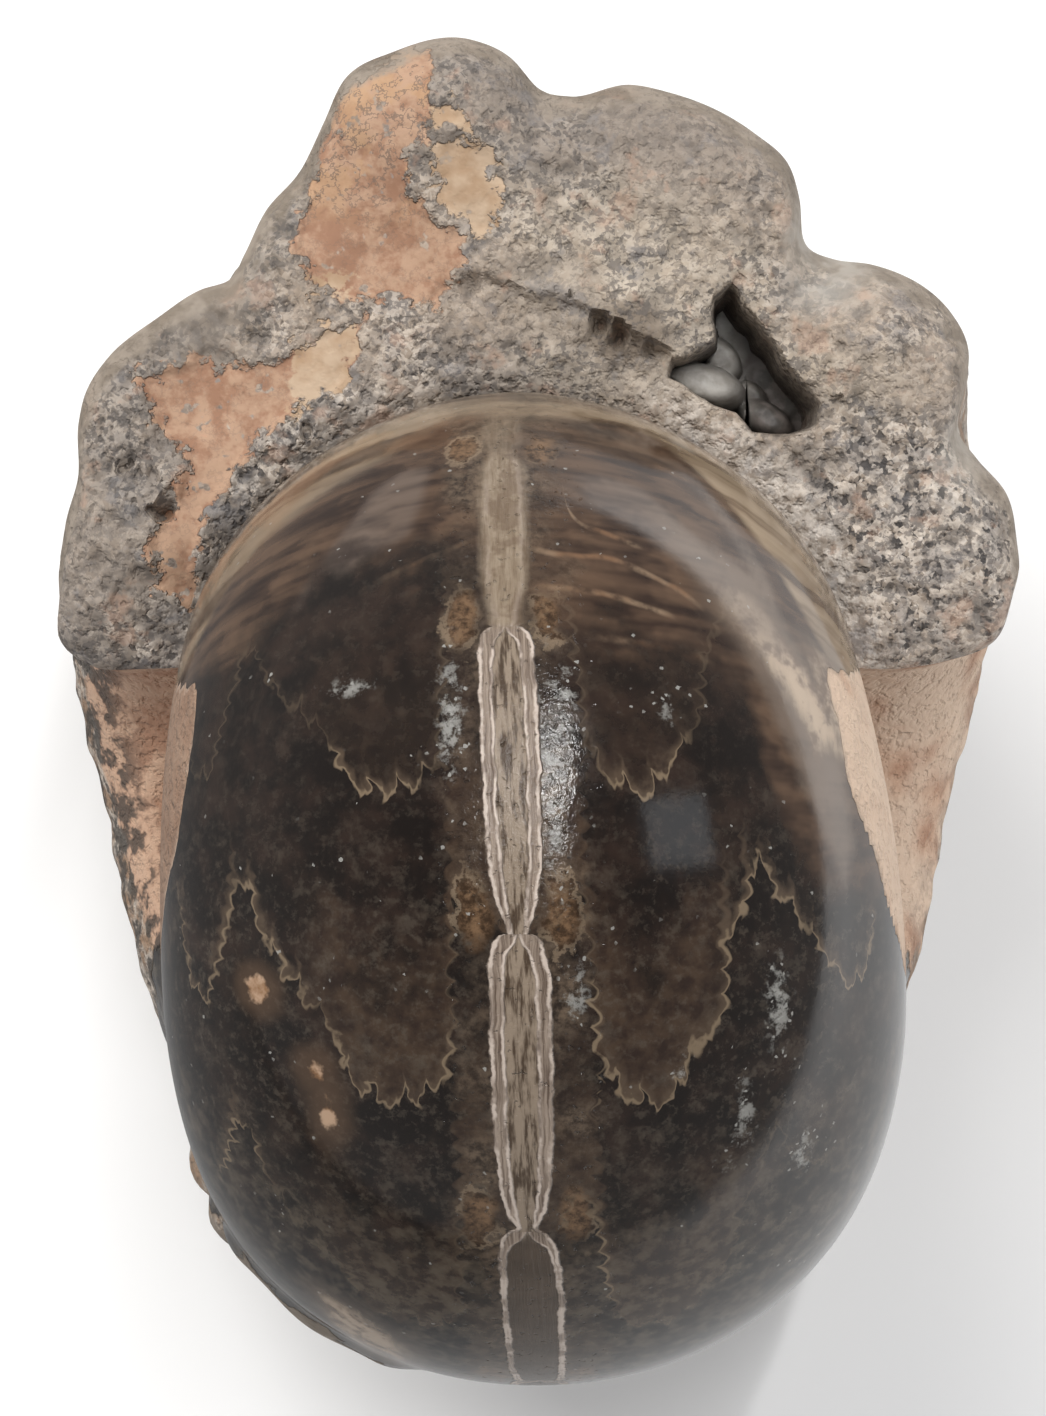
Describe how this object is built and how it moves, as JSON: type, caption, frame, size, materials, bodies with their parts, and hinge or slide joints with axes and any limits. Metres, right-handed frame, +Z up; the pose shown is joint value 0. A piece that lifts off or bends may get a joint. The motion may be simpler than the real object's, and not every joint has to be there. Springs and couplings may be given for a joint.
{
  "type": "ammonite fossil",
  "caption": "Polished ammonite with its coil partly cut to the chambered inner whorl, a broken ribbed outer whorl and a small crystal hollow.",
  "frame": {"origin": "on the ground under the middle of the fossil, as it lies on the ribs of its back", "axes": "+X along the coil's axis, towards its left side; +Y along the broken face, away from the polished whorl; +Z up"},
  "size_m": [0.0904, 0.1248, 0.1045],
  "materials": {
    "fossil_stone": "polished dark brown fossil shell and rough grey-beige sandy matrix",
    "calcite": "grey translucent crystals"
  },
  "bodies": {
    "root": {"ammonite": "fossil_stone", "calcite_crystals": "calcite"}
  },
  "joints": []
}
